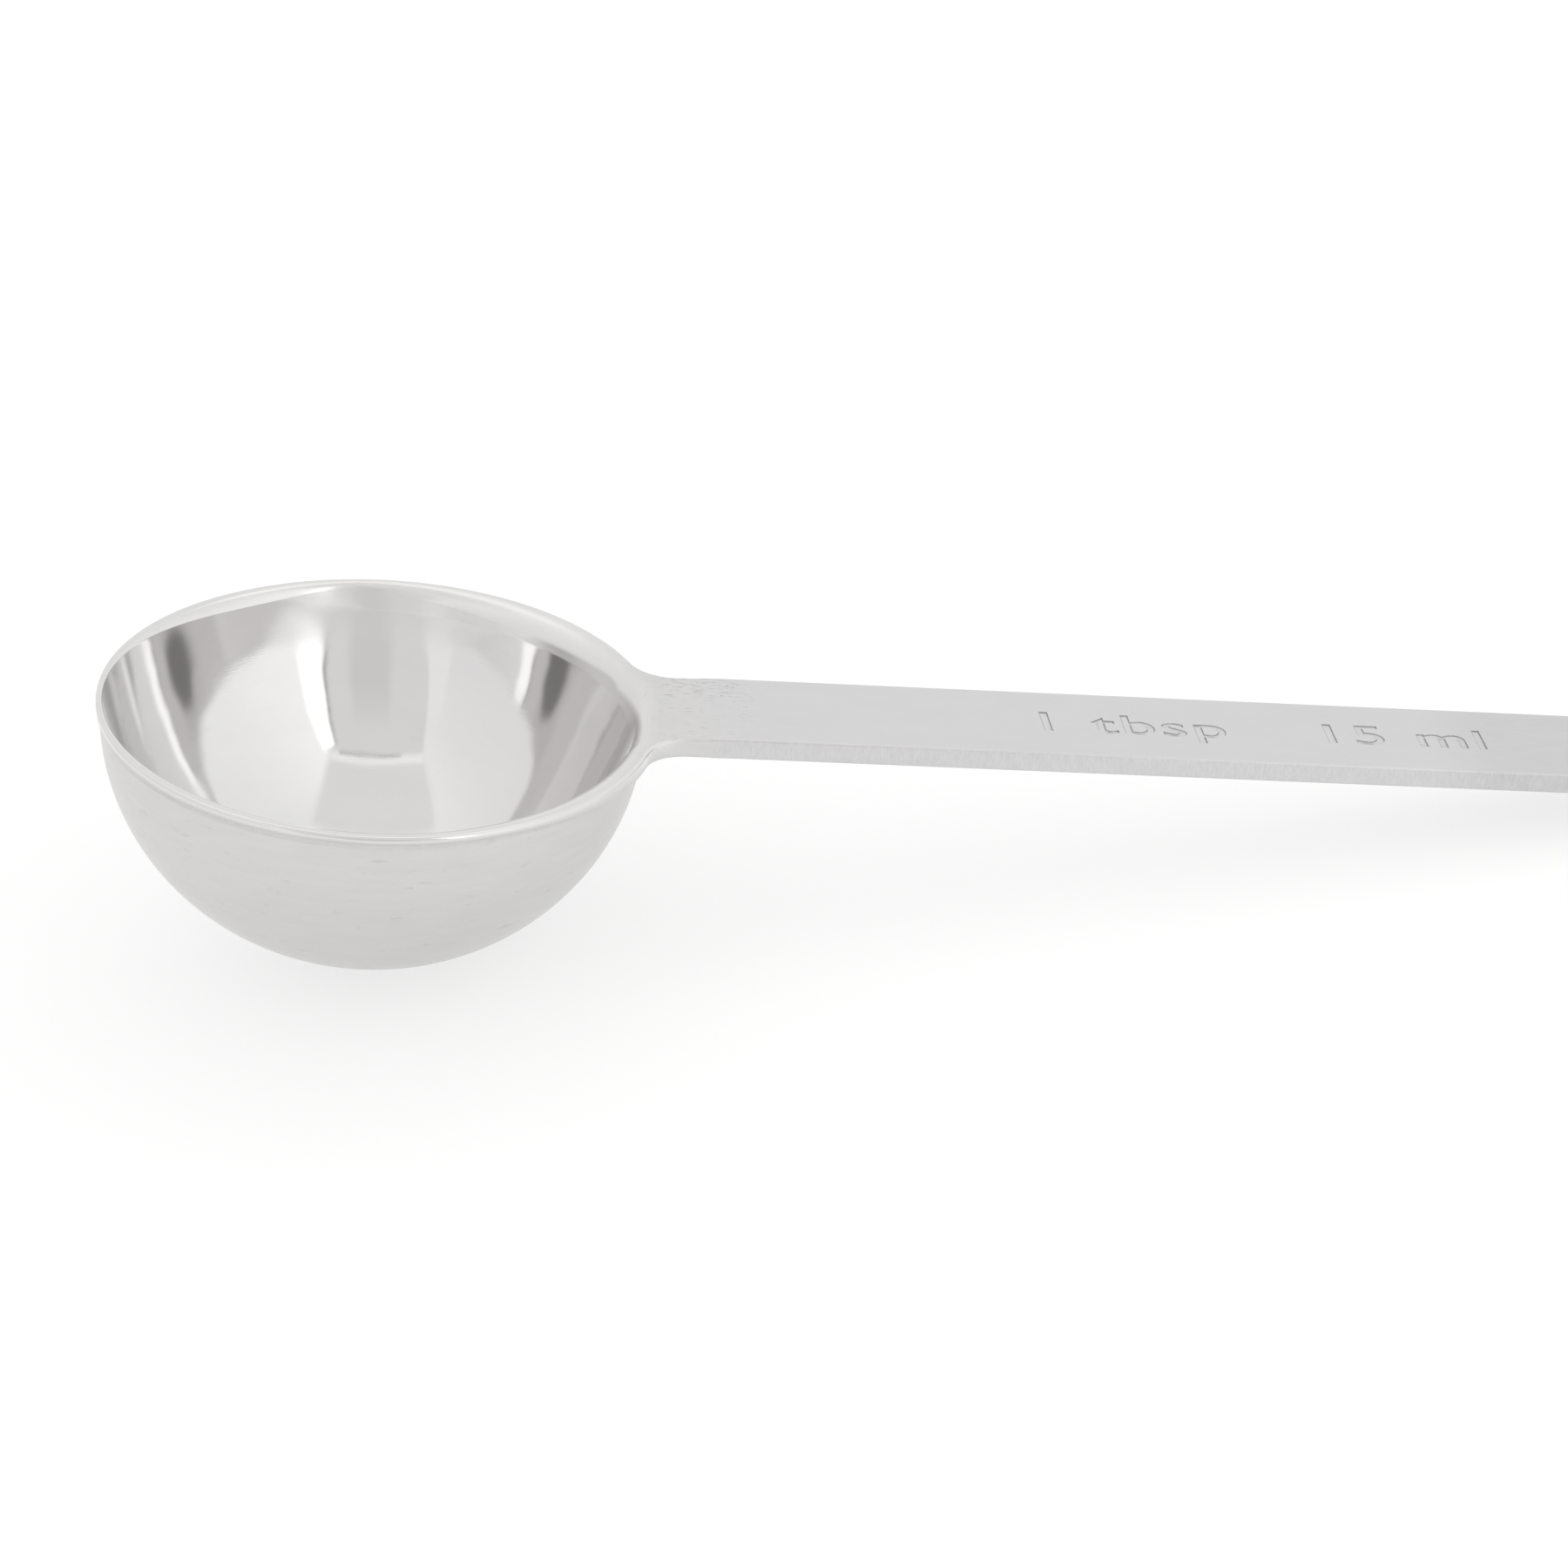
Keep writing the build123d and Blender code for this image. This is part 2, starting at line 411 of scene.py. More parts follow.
def add_outside(s, columns):
    """Skin from the underside of the lip, its first row, down the outside to the bottom."""
    angles = [atan2(y, x - OUTER_SHIFT) for x, y, *rest in columns]
    corners = [corner_under_lip(x, y, angle) for (x, y, *rest), angle in zip(columns, angles)]
    rows = [underside_row(s, columns, angles, corners, k / UNDERSIDE_STEPS)
            for k in range(UNDERSIDE_STEPS + 1)]
    rows += [corner_row(s, angles, corners, k / EDGE_STEPS * pi / 2)
             for k in range(1, EDGE_STEPS + 1)]
    rows += [wall_row(s, angles, corners, k / WALL_STEPS) for k in range(1, WALL_STEPS)]
    s.skin(rows, True)
    s.fan(s.add((OUTER_SHIFT, 0, -OUTSIDE_DEPTH), (0, 0, -1), pi / 2 * OUTSIDE_RADIUS), rows[-1])
    return rows[0]


def rounded_side(s, columns, top_row, bottom_row, thickness_at, polish_at=None):
    """Upright edge with rounded corners between two rows of points, and the rows it is made of."""
    rows = [top_row]
    quarter = [k / EDGE_STEPS * pi / 2 for k in range(1, EDGE_STEPS + 1)]
    for above, turns in ((1, quarter), (-1, quarter[::-1])):
        for a in turns:
            row = []
            for x, y, nx, ny, edge in columns:
                drop = edge * (1 - cos(a))
                z = -drop if above > 0 else -thickness_at(x) + drop
                point = (x + nx * edge * sin(a), y + ny * edge * sin(a), z)
                polish = polish_at(x) if polish_at and above > 0 else 0.0
                row.append(s.add(point, unit(nx * sin(a), ny * sin(a), above * cos(a)), x, polish))
            rows.append(row)
    rows.append(bottom_row)
    s.skin(rows, False)
    return rows


def bowl_surface():
    """Bowl as one closed skin: inside, lip, outside, and the edge round the lip and the tab."""
    columns, around = bowl_columns()
    s = Surface()
    top = add_inside(s, columns)
    bottom = add_outside(s, columns)
    side = rounded_side(s, columns[:around], top[:around], bottom[:around], sheet_at, edge_polish)
    first, last = [row[0] for row in side], [row[-1] for row in side]
    s.cap(top[around:], first, bottom[:around - 1:-1], last[::-1])
    return s


def section_ring(s, place):
    """Rounded oblong section of the bar, hung under the place's origin."""
    inner = HALF_WIDTH - EDGE_RADIUS
    turn = place.to_3x3()
    ring = []
    corners = ((inner, -EDGE_RADIUS), (-inner, -EDGE_RADIUS),
               (-inner, EDGE_RADIUS - THICKNESS), (inner, EDGE_RADIUS - THICKNESS))
    for quadrant, (y, z) in enumerate(corners):
        for k in range(EDGE_STEPS + 1):
            a = (quadrant + k / EDGE_STEPS) * pi / 2
            normal = Vector((0, cos(a), sin(a)))
            point = place @ (Vector((0, y, z)) + EDGE_RADIUS * normal)
            ring.append(s.add(tuple(point), tuple(turn @ normal), point.x))
    return ring


def weld_surface():
    """Dressed weld, flush with the tab and the bar, bending by the bar's small dip."""
    s = Surface()
    start = Vector((TAB_END, 0, 0))
    rings = []
    for k in range(WELD_STEPS + 1):
        share = k / WELD_STEPS
        place = Matrix.Translation(start.lerp(BAR.translation, share))
        rings.append(section_ring(s, place @ Matrix.Rotation(DIP * share, 4, "Y")))
    s.skin(rings, True)
    s.cap(rings[0])
    s.cap(rings[-1])
    return s


def bar_surface():
    """Plain bar in its own frame: square at the weld, with rounded corners at its end."""
    s = Surface()
    inner = HALF_WIDTH - END_CORNER_RADIUS
    far = BAR_LENGTH - END_CORNER_RADIUS
    plan = [(0.0, -HALF_WIDTH, 0.0, -1.0)]
    for y, first in ((-inner, -pi / 2), (inner, 0.0)):
        for angle in np.linspace(first, first + pi / 2, FILLET_STEPS + 1):
            c, sn = cos(angle), sin(angle)
            plan.append((far + END_CORNER_RADIUS * c, y + END_CORNER_RADIUS * sn, c, sn))
    plan.append((0.0, HALF_WIDTH, 0.0, 1.0))
    edge = EDGE_RADIUS
    columns = [(x - nx * edge, y - ny * edge, nx, ny, edge) for x, y, nx, ny in plan]
    top = [s.add((x, y, 0.0), (0, 0, 1)) for x, y, *rest in columns]
    bottom = [s.add((x, y, -THICKNESS), (0, 0, -1)) for x, y, *rest in columns]
    side = rounded_side(s, columns, top, bottom, lambda x: THICKNESS)
    s.cap(top)
    s.cap(bottom)
    s.cap([row[0] for row in side], [row[-1] for row in reversed(side)])
    return s


def hole_cutter():
    """Turned plug that widens at both faces of the bar."""
    s = Surface()
    profile = [(HOLE_RADIUS + HOLE_EASE, CUT_OVERRUN)]
    for k in range(EDGE_STEPS + 1):
        a = k / EDGE_STEPS * pi / 2
        profile.append((HOLE_RADIUS + HOLE_EASE * (1 - sin(a)), HOLE_EASE * (cos(a) - 1)))
    profile += [(r, -THICKNESS - z) for r, z in reversed(profile)]
    turns = np.linspace(0, 2 * pi, HOLE_STEPS, endpoint=False)
    rows = [[s.add((HOLE_X + r * cos(a), r * sin(a), z), (0, 0, 1)) for a in turns]
            for r, z in profile]
    s.skin(rows, True)
    s.cap(rows[0])
    s.cap(rows[-1])
    return mesh_from("hole", s)


def clean_facets(mesh, weld=0.0):
    """Turns the facets outwards, after joining points that lie closer than the weld."""
    work = bmesh.new()
    work.from_mesh(mesh)
    if weld:
        bmesh.ops.remove_doubles(work, verts=work.verts, dist=weld)
    bmesh.ops.recalc_face_normals(work, faces=work.faces)
    work.to_mesh(mesh)
    work.free()


def mesh_from(name, surface):
    mesh = bpy.data.meshes.new(name)
    mesh.from_pydata(surface.points, [], surface.faces)
    mesh.validate()
    clean_facets(mesh)
    return mesh


def shown_mesh(thing):
    """The thing's final mesh, with its modifiers or its text worked out."""
    bpy.context.view_layer.update()
    graph = bpy.context.evaluated_depsgraph_get()
    return bpy.data.meshes.new_from_object(thing.evaluated_get(graph), depsgraph=graph)


def linked_object(name, data):
    thing = bpy.data.objects.new(name, data)
    bpy.context.scene.collection.objects.link(thing)
    return thing


def mark_cutter(words, x):
    text = bpy.data.curves.new("mark", "FONT")
    text.body = words
    text.size = MARK_SIZE
    text.space_character = MARK_SPACING
    text.offset = MARK_THINNING
    text.bevel_depth = MARK_DEPTH
    text.bevel_resolution = MARK_BEVEL_STEPS
    text.align_y = "CENTER"
    thing = linked_object("mark", text)
    mesh = shown_mesh(thing)
    bpy.data.objects.remove(thing)
    clean_facets(mesh, MARK_WELD)
    widened = Matrix.Diagonal((MARK_WIDENING, 1, 1, 1))
    mesh.transform(Matrix.Translation((x, 0, MARK_RISE)) @ widened)
    return mesh


def store(mesh, name, kind, values):
    attribute = mesh.attributes.new(name, kind, "POINT")
    attribute.data.foreach_set("vector" if kind == "FLOAT_VECTOR" else "value", np.ravel(values))


def piece_from(name, mesh, node):
    """Shows the mesh, given in level millimetres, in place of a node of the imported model."""
    level = np.empty(len(mesh.vertices) * 3, np.float32)
    mesh.vertices.foreach_get("co", level)
    store(mesh, "level_mm", "FLOAT_VECTOR", level)
    mesh.transform(LAID_DOWN)
    mesh.polygons.foreach_set("use_smooth", [True] * len(mesh.polygons))
    piece = linked_object(name, mesh)
    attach(piece, "root")
    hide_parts(node)
    return piece


def smooth_piece(name, surface, node):
    """A piece whose shading follows the true normals of its surfaces."""
    mesh = mesh_from(name, surface)
    store(mesh, "along_mm", "FLOAT", surface.along)
    store(mesh, "inside", "FLOAT", surface.inside)
    piece = piece_from(name, mesh, node)
    turn = np.array(LYING.to_3x3())
    normals = [tuple(turn @ np.array(normal)) for normal in surface.normals]
    mesh.normals_split_custom_set_from_vertices(normals)
    return piece


def handle_piece():
    """Bar with its hanging hole and sunk marks."""
    bar = linked_object("bar", mesh_from("bar", bar_surface()))
    cutters = [linked_object("cutter", hole_cutter())]
    cutters += [linked_object("cutter", mark_cutter(words, x)) for words, x in MARKS]
    for cutter in cutters:
        cut = bar.modifiers.new("cut", "BOOLEAN")
        cut.operation = "DIFFERENCE"
        cut.solver = "EXACT"
        cut.use_self = True
        cut.use_hole_tolerant = True
        cut.object = cutter
    mesh = shown_mesh(bar)
    for thing in [bar] + cutters:
        bpy.data.objects.remove(thing)
    store(mesh, "sunk_mm", "FLOAT", [-vertex.co.z for vertex in mesh.vertices])
    mesh.transform(BAR)
    piece = piece_from("handle_bar", mesh, "handle")
    mesh.set_sharp_from_angle(angle=SHARP_ANGLE)
    evened = piece.modifiers.new("flat faces stay flat", "WEIGHTED_NORMAL")
    evened.keep_sharp = True
    evened.weight = LARGE_FACE_WEIGHT
    return piece


# Noise patterns of the steel, in millimetres: how fine along the three axes, detail, roughness
PATTERNS = {
    "rings": ((0.9, 0.9, 0.9), 5.0, 0.65),
    "mottle": ((0.12, 0.12, 0.3), 3.0, 0.6),
    "patches": ((0.5, 0.5, 1.2), 4.0, 0.65),
    "waves": ((0.2, 0.2, 0.28), 1.0, 0.4),
    "speckle": ((6.0, 6.0, 6.0), 2.0, 0.7),
    "bands": ((0.22, 0.22, 1.6), 4.0, 0.6),
    "scuffs": ((0.9, 7.0, 7.0), 3.0, 0.6),
    "pits": ((2.2, 4.5, 4.5), 2.0, 0.5),
    "brushed": ((0.35, 5.0, 5.0), 4.0, 0.6),
    "ground": ((5.0, 1.0, 1.4), 5.0, 0.7),
    "bar_mottle": ((0.15, 0.3, 0.3), 3.0, 0.6),
    "scratches": ((1.0, 1.0, 1.0), 3.0, 0.6),
}


class Nodes:
    """Short way to write a node tree: each call adds a node and returns one of its outputs."""

    def __init__(self, tree):
        self.tree = tree
        tree.nodes.clear()

    def add(self, kind, output=0, inputs=None, **settings):
        node = self.tree.nodes.new(kind)
        for key, value in settings.items():
            setattr(node, key, value)
        for key, value in (inputs or {}).items():
            socket = node.inputs[key]
            if isinstance(value, bpy.types.NodeSocket):
                self.tree.links.new(value, socket)
            else:
                socket.default_value = value
        return node.outputs[output] if node.outputs else None

    def math(self, operation, a, b=0.0, clamp=False):
        return self.add("ShaderNodeMath", operation=operation, use_clamp=clamp, inputs={0: a, 1: b})

    def plus(self, a, b, clamp=False):
        return self.math("ADD", a, b, clamp)

    def minus(self, a, b):
        return self.math("SUBTRACT", a, b)

    def times(self, a, b, clamp=False):
        return self.math("MULTIPLY", a, b, clamp)

    def ramp(self, value, low, high, to_low=0.0, to_high=1.0):
        """Smooth step from one number to another while the value goes from low to high."""
        return self.add("ShaderNodeMapRange", interpolation_type="SMOOTHSTEP",
                        inputs={"Value": value, "From Min": low, "From Max": high,
                                "To Min": to_low, "To Max": to_high})

    def between(self, share, a, b):
        """Number that goes from a to b with the share."""
        return self.add("ShaderNodeMapRange", inputs={"Value": share, "To Min": a, "To Max": b})

    def mixed(self, share, a, b):
        return self.add("ShaderNodeMix", data_type="FLOAT", inputs={0: share, 2: a, 3: b})

    def attribute(self, name, output="Fac"):
        return self.add("ShaderNodeAttribute", output=output, attribute_name=name)

    def scaled(self, vector, scales):
        return self.add("ShaderNodeVectorMath", operation="MULTIPLY", inputs={0: vector, 1: scales})

    def parts(self, vector):
        """The three coordinates of a vector."""
        return self.add("ShaderNodeSeparateXYZ", inputs={0: vector}).node.outputs[:]

    def pattern(self, name, vector):
        scales, detail, roughness = PATTERNS[name]
        return self.add("ShaderNodeTexNoise",
                        inputs={"Vector": self.scaled(vector, scales), "Scale": 1.0,
                                "Detail": detail, "Roughness": roughness})

    def bounces(self):
        return self.add("ShaderNodeLightPath").node.outputs["Glossy Depth"]


def new_material(name, shade, *given):
    """Material with the surface that the shade function makes."""
    material = bpy.data.materials.new(name)
    material.use_nodes = True
    nodes = Nodes(material.node_tree)
    nodes.add("ShaderNodeOutputMaterial", inputs={"Surface": shade(nodes, *given)})
    return material


WHITE = (1.0, 1.0, 1.0)
BOWL_TINT = (1.0, 0.993, 0.986)
BAR_TINT = (1.0, 0.99, 0.995)
# After this many mirrored bounces the light inside the bowl is taken as even
LAST_BOUNCE = 3.5
MEAN_GLOW = 0.8


def steel(nodes, paint):
    """Steel with the brightness, tint, roughness and fine height that the paint function sets.

    Light that has gone to and fro inside the bowl many times comes back as the tent's mean glow.
    """
    looks = paint(nodes)
    colour = nodes.add("ShaderNodeVectorMath", operation="SCALE",
                       inputs={0: looks["tint"], "Scale": looks["brightness"]})
    bump = nodes.add("ShaderNodeBump", inputs={"Height": looks["height"], "Distance": MM,
                                               "Strength": 1.0})
    surface = nodes.add("ShaderNodeBsdfPrincipled",
                        inputs={"Base Color": colour, "Metallic": 1.0, "Normal": bump,
                                "Roughness": looks["roughness"], "Tangent": looks["tangent"],
                                "Anisotropic": looks["anisotropic"]})
    glow = nodes.add("ShaderNodeEmission", inputs={"Color": (*BOWL_TINT, 1.0), "Strength": MEAN_GLOW})
    spent = nodes.math("GREATER_THAN", nodes.bounces(), LAST_BOUNCE)
    return nodes.add("ShaderNodeMixShader", inputs={0: spent, 1: surface, 2: glow})


def inside_span(nodes, value, low, high, soft):
    """One where the value lies between low and high, with soft ends."""
    rising = nodes.ramp(value, low - soft, low + soft)
    return nodes.times(rising, nodes.ramp(value, high + soft, high - soft))


def from_sides(nodes, y, none, full):
    """Smooth step between two distances from the bar's sides, none at the first."""
    return nodes.ramp(nodes.math("ABSOLUTE", y), HALF_WIDTH - none, HALF_WIDTH - full)


# Dressed patch beside the weld: its span along the handle, how soft the ends are, and how far it
# keeps off the rounded edges
SCUFF_START = 22.0
SCUFF_END = 29.0
SCUFF_SOFT = 1.2
SCUFF_INSETS = (0.15, 0.35)
# The marks crowd from the front towards the back. A pair is where noise begins and ends to be a
# scratch or a pit.
SCUFF_CROWDING = 0.06
SCUFF_WIDTH = (-2.0, 4.6)
SCRATCH_SPAN = (0.6, 0.74)
PIT_SPAN = (0.68, 0.78)
SCUFF_DARKNESS = 0.24


def scuffs(nodes, level, x, y):
    """Darkness of the short scratches and pits where the weld was dressed."""
    patch = inside_span(nodes, x, SCUFF_START, SCUFF_END, SCUFF_SOFT)
    patch = nodes.times(patch, from_sides(nodes, y, *SCUFF_INSETS))
    crowd = nodes.ramp(y, *SCUFF_WIDTH, 0.0, SCUFF_CROWDING)
    lines = nodes.ramp(nodes.plus(nodes.pattern("scuffs", level), crowd), *SCRATCH_SPAN)
    dots = nodes.ramp(nodes.plus(nodes.pattern("pits", level), crowd), *PIT_SPAN)
    return nodes.times(nodes.times(patch, nodes.plus(lines, dots, clamp=True)), SCUFF_DARKNESS)


# Frost on the inside, under the back of the lip. Over a span along the handle its foot rises and
# gets sharp. It begins at the left and towards the front over two more spans.
FROST_SPAN = (5.0, 11.5)
FROST_FOOT = (-4.4, -2.0)
FROST_SOFTNESS = (2.2, 0.12)
FROST_LEFT = (-9.5, -5.5)
FROST_FRONT = (-3.0, 2.0)


def frosting(nodes, x, y, z, inside):
    foot = nodes.ramp(x, *FROST_SPAN, *FROST_FOOT)
    soft = nodes.ramp(x, *FROST_SPAN, *FROST_SOFTNESS)
    frost = nodes.ramp(z, nodes.minus(foot, soft), nodes.plus(foot, soft))
    frost = nodes.times(frost, nodes.ramp(x, *FROST_LEFT))
    return nodes.times(nodes.times(frost, nodes.ramp(y, *FROST_FRONT)), inside, clamp=True)


# Bowl: a pair is for the outside and the inside, or for bare steel and frost
BOWL_BRIGHTNESS = (0.59, 0.705)
BOWL_MOTTLE = 0.05
BOWL_RINGS = 0.03
BOWL_BANDS = (0.07, 0.01)
BOWL_SMUDGES = (-0.08, -0.015)
SMUDGE_SPAN = (0.6, 0.75)
FROST_SPECKLE = 0.05
RING_FINENESS = 14.0
RING_HEIGHT = (0.02, 0.0015)
WAVE_HEIGHT = (0.0, 0.035)
OUTSIDE_ROUGHNESS = 0.3
OUTSIDE_MOTTLE = 0.12
INSIDE_ROUGHNESS = (0.03, 0.2)
INSIDE_MOTTLE = 0.05
BOWL_ANISOTROPY = 0.3
FROST_ANISOTROPY = 0.5
BOWL_TANGENT = (0.3, 0.3, 1.0)


def paint_bowl(nodes):
    """Mirror polish inside with a frosted band under the back of the lip, and satin outside.

    Both have fine marks that run round the bowl, and the inside is a little wavy.
    """
    level = nodes.attribute("level_mm", "Vector")
    inside = nodes.attribute("inside")
    x, y, z = nodes.parts(level)
    fine_length = nodes.times(nodes.attribute("along_mm"), RING_FINENESS)
    ringed = nodes.add("ShaderNodeCombineXYZ", inputs={0: x, 1: y, 2: fine_length})
    rings = nodes.pattern("rings", ringed)
    mottle = nodes.pattern("mottle", level)
    frost = frosting(nodes, x, y, z, inside)

    bands = nodes.times(nodes.pattern("bands", level), nodes.between(inside, *BOWL_BANDS))
    speckle = nodes.times(frost, nodes.times(nodes.pattern("speckle", level), FROST_SPECKLE))
    smudges = nodes.times(nodes.ramp(nodes.pattern("patches", level), *SMUDGE_SPAN),
                          nodes.between(inside, *BOWL_SMUDGES))
    shade = nodes.plus(nodes.times(mottle, BOWL_MOTTLE), nodes.times(rings, BOWL_RINGS))
    shade = nodes.plus(nodes.plus(nodes.plus(shade, bands), speckle), smudges)
    value = nodes.plus(shade, nodes.between(inside, *BOWL_BRIGHTNESS))

    outer = nodes.plus(nodes.times(mottle, OUTSIDE_MOTTLE), OUTSIDE_ROUGHNESS)
    inner = nodes.plus(nodes.times(mottle, INSIDE_MOTTLE), nodes.between(frost, *INSIDE_ROUGHNESS))
    fine = nodes.times(rings, nodes.between(inside, *RING_HEIGHT))
    waves = nodes.times(nodes.pattern("waves", level), nodes.between(inside, *WAVE_HEIGHT))
    return {"brightness": nodes.minus(value, scuffs(nodes, level, x, y)), "tint": BOWL_TINT,
            "roughness": nodes.mixed(inside, outer, inner), "height": nodes.plus(fine, waves),
            "anisotropic": nodes.plus(nodes.times(frost, FROST_ANISOTROPY), BOWL_ANISOTROPY),
            "tangent": nodes.scaled(level, BOWL_TANGENT)}


# Bar: a pair is for the flat faces and the sides. The first pair says how far from a side's plane
# its own looks begin and are full.
SIDE_INSETS = (0.12, 0.02)
BAR_BRIGHTNESS = (0.635, 0.515)
BAR_GRAIN = (0.04, 0.22)
BAR_MOTTLE = 0.04
BAR_ROUGHNESS = (0.24, 0.3)
GRAIN_ROUGHNESS = 0.12
GRAIN_HEIGHT = 0.012
BAR_ANISOTROPY = (0.5, 0.2)
BAR_TANGENT = (1.0, 0.05, 0.05)
# More fine scratches over the far part of the bar, turned so that they don't follow the grain's
# noise
SCRATCHED_SPAN = (82.0, 90.0)
SCRATCH_FINENESS = (0.8, 9.0, 1.0)
SCRATCH_TURN = radians(50)
SCRATCH_DARKNESS = 0.09
# Depths between which the marks' sloping walls get painted shade, and how far those lie from the
# sides
SUNK_SPAN = (0.012, 0.085)
SUNK_SOFT = 0.008
SUNK_INSETS = (0.4, 0.5)
# Painted shade: how much darker the marks' sloping walls are drawn
MARK_WALL_PAINTED_SHADE = 0.3


def paint_bar(nodes):
    """Fine satin along the top, crosswise grinding on the sides, scuffs beside the weld, and painted
    shade on the sunk marks' sloping walls.
    """
    level = nodes.attribute("level_mm", "Vector")
    x, y, *rest = nodes.parts(level)
    side = from_sides(nodes, y, *SIDE_INSETS)
    grain = nodes.mixed(side, nodes.pattern("brushed", level), nodes.pattern("ground", level))
    mottle = nodes.times(nodes.pattern("bar_mottle", level), BAR_MOTTLE)
    turned = nodes.add("ShaderNodeMapping", inputs={"Vector": level, "Scale": SCRATCH_FINENESS,
                                                    "Rotation": (0.0, 0.0, SCRATCH_TURN)})
    scratched = nodes.times(nodes.pattern("scratches", turned), nodes.ramp(x, *SCRATCHED_SPAN))
    # Mask of the painted shade on the sloping walls of the sunk marks
    sunk = nodes.times(inside_span(nodes, nodes.attribute("sunk_mm"), *SUNK_SPAN, SUNK_SOFT),
                       from_sides(nodes, y, *SUNK_INSETS))

    value = nodes.plus(nodes.times(grain, nodes.between(side, *BAR_GRAIN)),
                       nodes.plus(mottle, nodes.between(side, *BAR_BRIGHTNESS)))
    value = nodes.minus(value, nodes.times(scratched, SCRATCH_DARKNESS))
    value = nodes.minus(value, scuffs(nodes, level, x, y))
    # Painted shade on the sloping walls of the sunk marks
    value = nodes.minus(value, nodes.times(sunk, MARK_WALL_PAINTED_SHADE))
    rough = nodes.plus(nodes.times(grain, GRAIN_ROUGHNESS), nodes.between(side, *BAR_ROUGHNESS))
    tangent = nodes.add("ShaderNodeVectorMath", operation="CROSS_PRODUCT",
                        inputs={0: (0.0, 0.0, 1.0), 1: nodes.scaled(level, BAR_TANGENT)})
    return {"brightness": value, "tint": BAR_TINT, "roughness": rough, "tangent": tangent,
            "height": nodes.times(nodes.plus(grain, scratched), GRAIN_HEIGHT),
            "anisotropic": nodes.between(side, *BAR_ANISOTROPY)}


def glow(nodes, paint):
    strength, tint = paint(nodes)
    return nodes.add("ShaderNodeEmission", inputs={"Color": (*tint, 1.0), "Strength": strength})


def tent_coordinates(nodes):
    """Place in the studio, in shares of the tent's height."""
    place = nodes.add("ShaderNodeTexCoord", output="Object")
    return nodes.parts(nodes.scaled(place, (1 / TENT_HEIGHT,) * 3))


# Glow of the tent's panels. A span is a stretch of the panel in shares of the tent's height, and
# a pair of strengths belongs to its two ends.
LEFT_TINT = (1.0, 0.985, 0.99)
TOP_TINT = (1.0, 0.99, 0.978)
FRONT_TINT = (1.0, 0.985, 0.97)
BACK_GLOW = 0.98
ROD_GLOW = 0.2
SLIT_GLOW = 0.3
LEFT_GLOW = (0.92, 1.03)
RIGHT_SPAN = (0.3, -0.62)
RIGHT_GLOW = (1.0, 1.17)
TOP_SPAN = (0.08, 0.4)
TOP_GLOW = (0.9, 1.25)
SEAM_SPAN = (-0.5, -0.56)
SEAM_GLOW = 0.2
STRIP_SPAN = (0.0, 0.25)
STRIP_GLOW = (1.15, 1.7)
FRONT_GLOW = 0.86
# Faint band down the front, round its middle
BAND_MIDDLE = 0.08
BAND_SIDE = (0.17, 0.1)
BAND_TOP = (0.7, 0.3)
BAND_DIMMING = 0.1
# Middle and half sizes of the camera's dark front, its soft edge in squared shares of the half
# sizes, and the bounces before which it doesn't show
CAMERA_FRONT = (0.11, 0.315)
CAMERA_FRONT_HALF = (0.12, 0.085)
CAMERA_FRONT_EDGE = (1.4, 0.5)
CAMERA_DIMMING = 0.46
FIRST_BOUNCES = 1.5


def plain_glow(strength):
    return lambda nodes: (strength, WHITE)


def left_glow(nodes):
    x, y, z = tent_coordinates(nodes)
    return nodes.ramp(z, 0.0, 1.0, *LEFT_GLOW), LEFT_TINT


def right_glow(nodes):
    x, y, z = tent_coordinates(nodes)
    return nodes.ramp(y, *RIGHT_SPAN, *RIGHT_GLOW), WHITE


def top_glow(nodes):
    """Top of the tent, brighter towards the back and along the seam over the front."""
    x, y, z = tent_coordinates(nodes)
    seam = nodes.ramp(y, *SEAM_SPAN, 0.0, SEAM_GLOW)
    return nodes.plus(nodes.ramp(y, *TOP_SPAN, *TOP_GLOW), seam), TOP_TINT


def strip_glow(nodes):
    """Bright strip beside the front, which fades towards the floor."""
    x, y, z = tent_coordinates(nodes)
    return nodes.ramp(z, *STRIP_SPAN, *STRIP_GLOW), WHITE


def front_glow(nodes):
    """Front of the tent, dimmer where the camera and what stands behind it show through.

    One bounce on the brushed wall smears the camera's dark front into a faint band. After two
    bounces it is large and shows by itself.
    """
    x, y, z = tent_coordinates(nodes)
    from_middle = nodes.math("ABSOLUTE", nodes.minus(x, BAND_MIDDLE))
    band = nodes.times(nodes.ramp(from_middle, *BAND_SIDE), nodes.ramp(z, *BAND_TOP))
    offsets = [nodes.math("DIVIDE", nodes.minus(value, middle), half)
               for value, middle, half in zip((x, z), CAMERA_FRONT, CAMERA_FRONT_HALF)]
    reach = nodes.plus(*[nodes.times(offset, offset) for offset in offsets])
    again = nodes.math("GREATER_THAN", nodes.bounces(), FIRST_BOUNCES)
    front = nodes.times(nodes.ramp(reach, *CAMERA_FRONT_EDGE), again)
    dimmed = nodes.plus(nodes.times(band, BAND_DIMMING), nodes.times(front, CAMERA_DIMMING))
    return nodes.minus(FRONT_GLOW, dimmed), FRONT_TINT


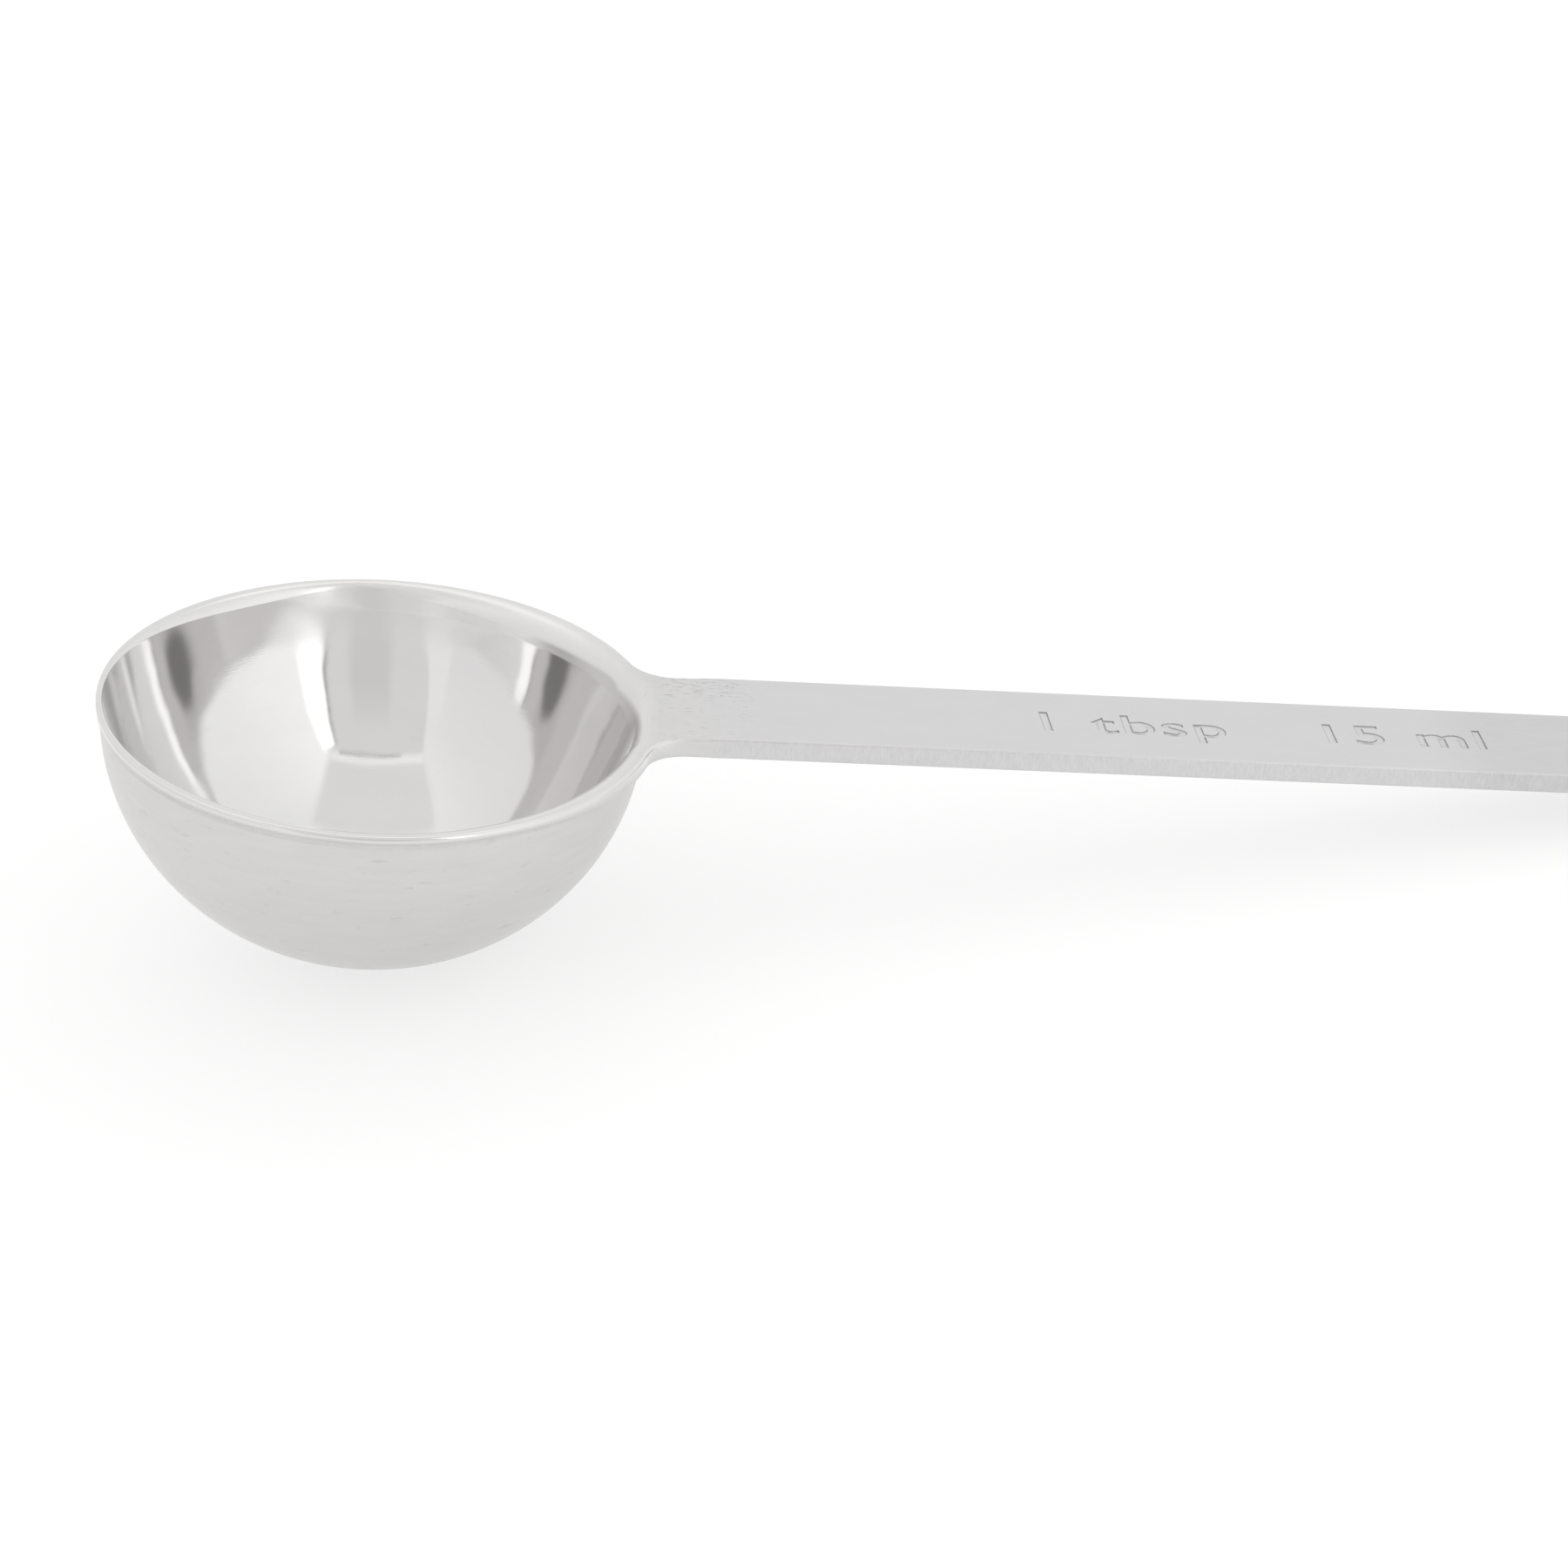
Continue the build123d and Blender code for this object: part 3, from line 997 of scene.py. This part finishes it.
# Corners of the tent's panels, in shares of its height, from the middle of the mouth
TENT_PANELS = {
    "tent_top": (top_glow, ((-0.45, 0.75, 1), (0.47, 0.75, 1), (0.5, -0.6, 1), (-0.4, -0.6, 1))),
    "tent_left": (left_glow, ((-0.47, 0.75, -0.1), (-0.47, 0.75, 0.99),
                              (-0.43, -0.59, 0.97), (-0.42, -0.59, -0.1))),
    "tent_right": (right_glow, ((0.48, 0.75, -0.1), (0.48, 0.75, 0.99),
                                (0.53, -0.58, 0.97), (0.53, -0.58, -0.1))),
    "tent_front": (front_glow, ((-0.4, -0.61, 0.96), (0.49, -0.61, 0.96),
                                (0.36, -0.61, -0.1), (-0.22, -0.61, -0.1))),
    "tent_back": (plain_glow(BACK_GLOW), ((-0.46, 0.77, 0.99), (0.47, 0.77, 0.99),
                                          (0.47, 0.77, -0.1), (-0.46, 0.77, -0.1))),
    "tent_strip": (strip_glow, ((0.44, -0.6, 0.85), (0.52, -0.52, 0.85),
                                (0.49, -0.5, 0.02), (0.385, -0.6, 0.02))),
    "tent_rod": (plain_glow(ROD_GLOW), ((-0.18, -0.605, 0.99), (0.42, -0.605, 0.99),
                                        (0.42, -0.605, 0.962), (-0.18, -0.605, 0.962))),
    "tent_slit": (plain_glow(SLIT_GLOW), ((0.418, -0.605, 0.85), (0.436, -0.605, 0.85),
                                          (0.38, -0.605, 0.02), (0.362, -0.605, 0.02))),
}


def flat_object(name, corners, material):
    """Four-cornered sheet with a material."""
    mesh = bpy.data.meshes.new(name)
    mesh.from_pydata(corners, [], [(0, 1, 2, 3)])
    mesh.materials.append(material)
    return linked_object(name, mesh)


def stage_panel(name, paint, corners):
    corners = [Vector(corner) * TENT_HEIGHT for corner in corners]
    panel = flat_object(name, corners, new_material(name, glow, paint))
    panel.matrix_world = STUDIO
    panel.visible_camera = False


FLOOR_SIZE = 6.0
FLOOR_GREY = 0.43
FLOOR_LIFT = 0.61


def floor_white(nodes):
    """Matt white, lifted only in the rays that show the background."""
    path = nodes.add("ShaderNodeLightPath").node.outputs
    seen = nodes.plus(path["Is Camera Ray"], path["Is Glossy Ray"])
    seen = nodes.plus(seen, path["Is Transmission Ray"], clamp=True)
    lift = nodes.add("ShaderNodeEmission", inputs={"Strength": nodes.times(seen, FLOOR_LIFT)})
    matt = nodes.add("ShaderNodeBsdfDiffuse", inputs={"Color": (FLOOR_GREY,) * 3 + (1.0,)})
    return nodes.add("ShaderNodeAddShader", inputs={0: matt, 1: lift})


def make_floor():
    """White floor that keeps the spoon's shadow and is otherwise as white as the background."""
    half = FLOOR_SIZE / 2
    corners = [(-half, -half, 0), (half, -half, 0), (half, half, 0), (-half, half, 0)]
    floor = flat_object("floor", corners, new_material("floor_white", floor_white))


def make_world():
    world = bpy.data.worlds.new("studio")
    world.use_nodes = True
    nodes = Nodes(world.node_tree)
    sky = nodes.add("ShaderNodeBackground", inputs={"Color": (*WHITE, 1.0), "Strength": 1.0})
    nodes.add("ShaderNodeOutputWorld", inputs={"Surface": sky})
    bpy.context.scene.world = world


def make_camera():
    right, down, ahead = MOUTH_IN_VIEW * MM
    c, sn = cos(CAMERA_DIP), sin(CAMERA_DIP)
    place = -(Vector((right, 0, 0)) + down * Vector((0, -sn, -c)) + ahead * Vector((0, c, -sn)))
    data = bpy.data.cameras.new("camera")
    data.lens = LENS_MM
    data.sensor_width = SENSOR_MM
    data.clip_start = CLIP_START
    camera = linked_object("camera", data)
    turn = Matrix.Rotation(pi / 2 - CAMERA_DIP, 4, "X")
    camera.matrix_world = STUDIO @ Matrix.Translation(place) @ turn
    bpy.context.scene.camera = camera


make_camera()
make_world()
make_floor()
for panel_name, (panel_paint, panel_corners) in TENT_PANELS.items():
    stage_panel(panel_name, panel_paint, panel_corners)

bowl = smooth_piece("drawn_bowl", bowl_surface(), "bowl")
weld = smooth_piece("dressed_weld", weld_surface(), "neck_weld")
handle = handle_piece()
bowl.data.materials.append(new_material("bowl_steel", steel, paint_bowl))
bar_steel = new_material("bar_steel", steel, paint_bar)
weld.data.materials.append(bar_steel)
handle.data.materials.append(bar_steel)

bpy.context.scene.view_settings.view_transform = "Standard"
